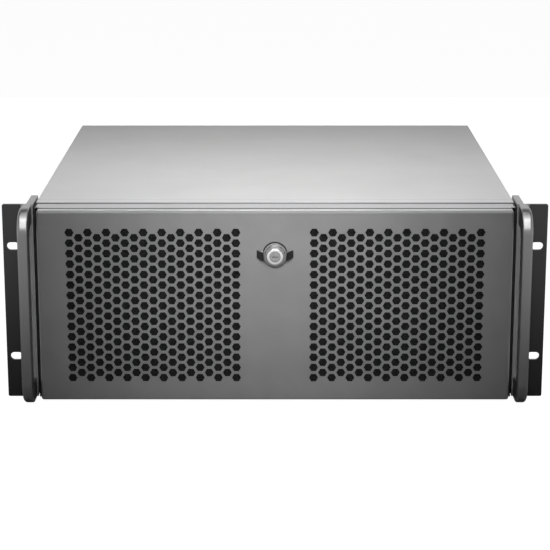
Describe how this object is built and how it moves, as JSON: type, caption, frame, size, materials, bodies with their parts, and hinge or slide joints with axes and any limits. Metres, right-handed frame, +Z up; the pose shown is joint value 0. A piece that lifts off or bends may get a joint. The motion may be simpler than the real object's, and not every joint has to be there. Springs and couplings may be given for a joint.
{
  "type": "rack server",
  "caption": "Rack-mount server with bow handles, a perforated locking drop-down door and a sliding cover over its fans, boards, drives and power supply.",
  "frame": {"origin": "on the underside of the case, mid-width, under the rear face of the rack ears", "axes": "+X to the right seen from the front, +Y to the rear, +Z up"},
  "size_m": [0.4826, 0.4708, 0.178],
  "materials": {
    "zinc_sheet": "satin zinc",
    "door_coat": "powder coat",
    "ear_casting": "powder coat",
    "bright_chrome": "polished",
    "black_plastic": "matte",
    "rotor_plastic": "matte",
    "green_board": "solder mask",
    "bare_aluminium": "milled",
    "standoff_brass": "plain",
    "filter_foam": "open foam",
    "light_lens": "clear tint"
  },
  "bodies": {
    "chassis": {"chassis_tray": "zinc_sheet", "front_frame": "zinc_sheet", "rear_panel": "zinc_sheet", "supply_case": "zinc_sheet", "drive_cage": "zinc_sheet", "card_clamp": "zinc_sheet", "slot_covers": "zinc_sheet", "slot_retainer": "zinc_sheet", "port_shield": "zinc_sheet", "hinge_brackets": "zinc_sheet", "hinge_pins": "zinc_sheet", "usb_sockets": "zinc_sheet", "rear_ports": "zinc_sheet", "left_ear": "ear_casting", "right_ear": "ear_casting", "left_front_fan": "black_plastic", "right_front_fan": "black_plastic", "left_rear_fan": "black_plastic", "right_rear_fan": "black_plastic", "cooler_fan": "black_plastic", "supply_fan": "black_plastic", "memory_sockets": "black_plastic", "card_sockets": "black_plastic", "mains_inlet": "black_plastic", "rocker_bezel": "black_plastic", "processor": "black_plastic", "mainboard": "green_board", "control_board": "green_board", "memory_modules": "green_board", "heat_sink": "bare_aluminium", "bridge_sink": "bare_aluminium", "hard_drives": "bare_aluminium", "standoffs": "standoff_brass", "status_lights": "light_lens"},
    "door": {"front_door": "door_coat", "hinge_lugs": "door_coat", "left_dust_filter": "filter_foam", "right_dust_filter": "filter_foam", "lock_bush": "bright_chrome", "lock_nut": "zinc_sheet"},
    "lock": {"lock_knob": "black_plastic", "lock_collar": "bright_chrome", "lock_spindle": "zinc_sheet", "lock_cam": "zinc_sheet"},
    "key": {"key_plug": "bright_chrome"},
    "cover": {"top_cover": "zinc_sheet"},
    "left_thumb": {"left_thumb_screw": "bright_chrome"},
    "right_thumb": {"right_thumb_screw": "bright_chrome"},
    "power": {"power_button": "black_plastic"},
    "reset": {"reset_button": "black_plastic"},
    "rocker": {"rocker_switch": "black_plastic"},
    "left_front_spin": {"left_front_rotor": "rotor_plastic"},
    "right_front_spin": {"right_front_rotor": "rotor_plastic"},
    "left_rear_spin": {"left_rear_rotor": "rotor_plastic"},
    "right_rear_spin": {"right_rear_rotor": "rotor_plastic"},
    "cooler_spin": {"cooler_rotor": "rotor_plastic"},
    "supply_spin": {"supply_rotor": "rotor_plastic"}
  },
  "joints": [
    {"name": "door_hinge", "type": "hinge", "parent": "chassis", "child": "door", "pos_m": [0, -0.0147, 0.0065], "axis": [1, 0, 0], "range_deg": [0, 90]},
    {"name": "lock_turn", "type": "hinge", "parent": "door", "child": "lock", "pos_m": [0, -0.022, 0.1377], "axis": [0, -1, 0], "range_deg": [0, 90]},
    {"name": "key_turn", "type": "hinge", "parent": "lock", "child": "key", "pos_m": [0, -0.0344, 0.1377], "axis": [0, -1, 0], "range_deg": [0, 90]},
    {"name": "cover_slide", "type": "slide", "parent": "chassis", "child": "cover", "axis": [0, 1, 0], "range_m": [0, 0.43]},
    {"name": "left_thumb_turn", "type": "hinge", "parent": "cover", "child": "left_thumb", "pos_m": [-0.16, 0.4228, 0.165], "axis": [0, 1, 0], "continuous": true},
    {"name": "right_thumb_turn", "type": "hinge", "parent": "cover", "child": "right_thumb", "pos_m": [0.16, 0.4228, 0.165], "axis": [0, 1, 0], "continuous": true},
    {"name": "power_press", "type": "slide", "parent": "chassis", "child": "power", "axis": [0, 1, 0], "range_m": [0, 0.002], "stiffness_N_per_m": 1000, "springref_m": -0.0005},
    {"name": "reset_press", "type": "slide", "parent": "chassis", "child": "reset", "axis": [0, 1, 0], "range_m": [0, 0.002], "stiffness_N_per_m": 1000, "springref_m": -0.0005},
    {"name": "rocker_tip", "type": "hinge", "parent": "chassis", "child": "rocker", "pos_m": [0.1878, 0.4178, 0.0284], "axis": [1, 0, 0], "range_deg": [0, 14]},
    {"name": "left_front_turn", "type": "hinge", "parent": "chassis", "child": "left_front_spin", "pos_m": [-0.10844, 0.0002, 0.09025], "axis": [0, 1, 0], "continuous": true},
    {"name": "right_front_turn", "type": "hinge", "parent": "chassis", "child": "right_front_spin", "pos_m": [0.10844, 0.0002, 0.09025], "axis": [0, 1, 0], "continuous": true},
    {"name": "left_rear_turn", "type": "hinge", "parent": "chassis", "child": "left_rear_spin", "pos_m": [-0.0052, 0.4078, 0.11145], "axis": [0, 1, 0], "continuous": true},
    {"name": "right_rear_turn", "type": "hinge", "parent": "chassis", "child": "right_rear_spin", "pos_m": [0.0788, 0.4078, 0.11145], "axis": [0, 1, 0], "continuous": true},
    {"name": "cooler_turn", "type": "hinge", "parent": "chassis", "child": "cooler_spin", "pos_m": [0.0302, 0.3263, 0.0718], "axis": [0, 0, 1], "continuous": true},
    {"name": "supply_turn", "type": "hinge", "parent": "chassis", "child": "supply_spin", "pos_m": [0.1658, 0.4118, 0.1024], "axis": [0, 1, 0], "continuous": true}
  ]
}
